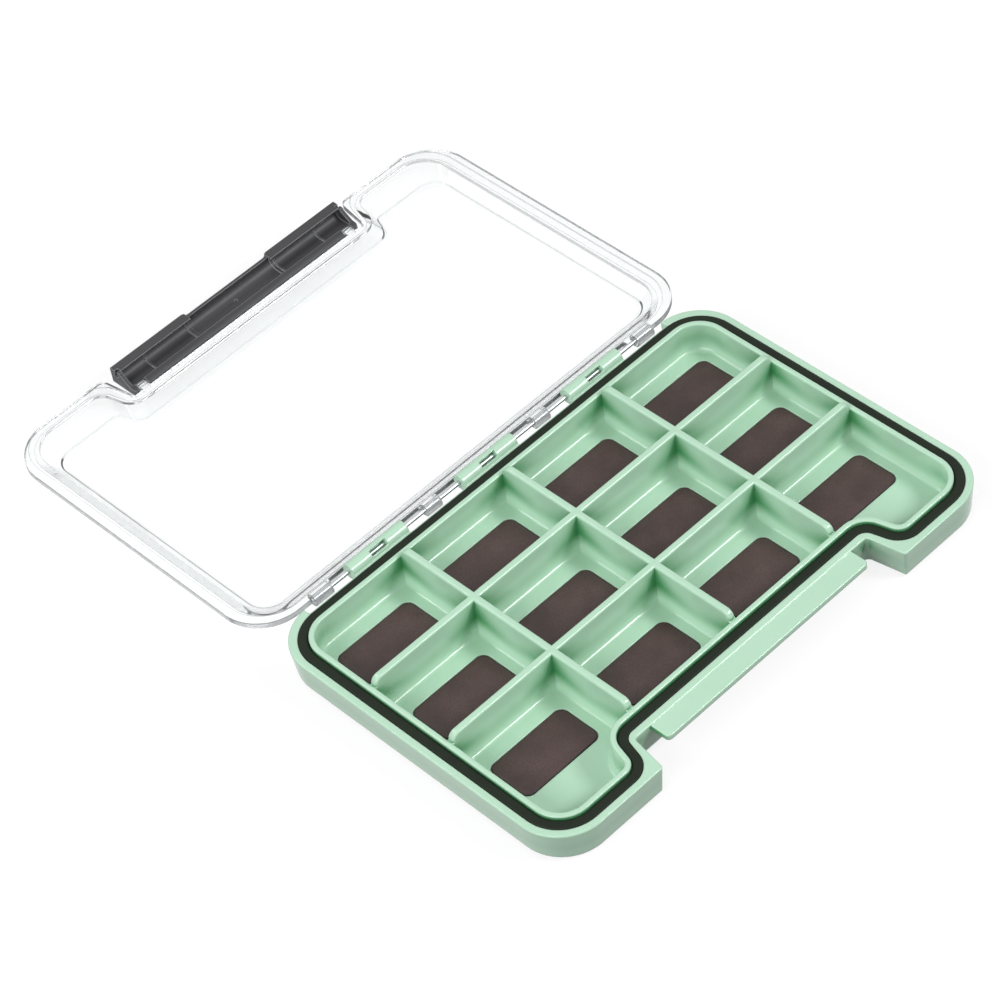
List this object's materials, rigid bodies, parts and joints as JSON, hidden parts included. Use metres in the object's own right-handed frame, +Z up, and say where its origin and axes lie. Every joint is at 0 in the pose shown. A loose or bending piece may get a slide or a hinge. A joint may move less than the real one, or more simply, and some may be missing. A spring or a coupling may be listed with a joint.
{
  "type": "fly box",
  "caption": "Slim fly box opened flat: a tray of compartments with magnet pads and a rubber seal, a clear hinged lid, and a bar latch.",
  "frame": {"origin": "on the underside of the base tray, midway between its ends, at the middle of its seal from front to back", "axes": "+X along the hinge pin, +Y from the latch side of the base to the hinge, +Z up out of the open tray"},
  "size_m": [0.1492, 0.1969, 0.0127],
  "materials": {
    "tray_plastic": "glossy moulded",
    "seal_rubber": "matt",
    "pin_steel": "bright drawn",
    "clear_plastic": "clear moulded",
    "latch_plastic": "satin moulded",
    "magnet_sheet": "matt sheet",
    "tape_film": "thin film"
  },
  "bodies": {
    "base": {"base_tray": "tray_plastic", "seal_gasket": "seal_rubber", "hinge_pin": "pin_steel", "magnet_pad_1": "magnet_sheet", "magnet_pad_2": "magnet_sheet", "magnet_pad_3": "magnet_sheet", "magnet_pad_4": "magnet_sheet", "magnet_pad_5": "magnet_sheet", "magnet_pad_6": "magnet_sheet", "magnet_pad_7": "magnet_sheet", "magnet_pad_8": "magnet_sheet", "magnet_pad_9": "magnet_sheet", "magnet_pad_10": "magnet_sheet", "magnet_pad_11": "magnet_sheet", "magnet_pad_12": "magnet_sheet", "tape_pad_1": "tape_film", "tape_pad_2": "tape_film", "tape_pad_3": "tape_film", "tape_pad_4": "tape_film", "tape_pad_5": "tape_film", "tape_pad_6": "tape_film", "tape_pad_7": "tape_film", "tape_pad_8": "tape_film", "tape_pad_9": "tape_film", "tape_pad_10": "tape_film", "tape_pad_11": "tape_film", "tape_pad_12": "tape_film"},
    "lid": {"lid": "clear_plastic", "latch_pin_left": "pin_steel", "latch_pin_right": "pin_steel"},
    "latch": {"latch": "latch_plastic"}
  },
  "joints": [
    {"name": "lid_hinge", "type": "hinge", "parent": "base", "child": "lid", "pos_m": [0, 0.0499, 0.009], "axis": [1, 0, 0], "range_deg": [0, 180]},
    {"name": "latch_hinge", "type": "hinge", "parent": "lid", "child": "latch", "pos_m": [0, 0.1387, 0.0075], "axis": [1, 0, 0], "range_deg": [-50, 0]}
  ]
}
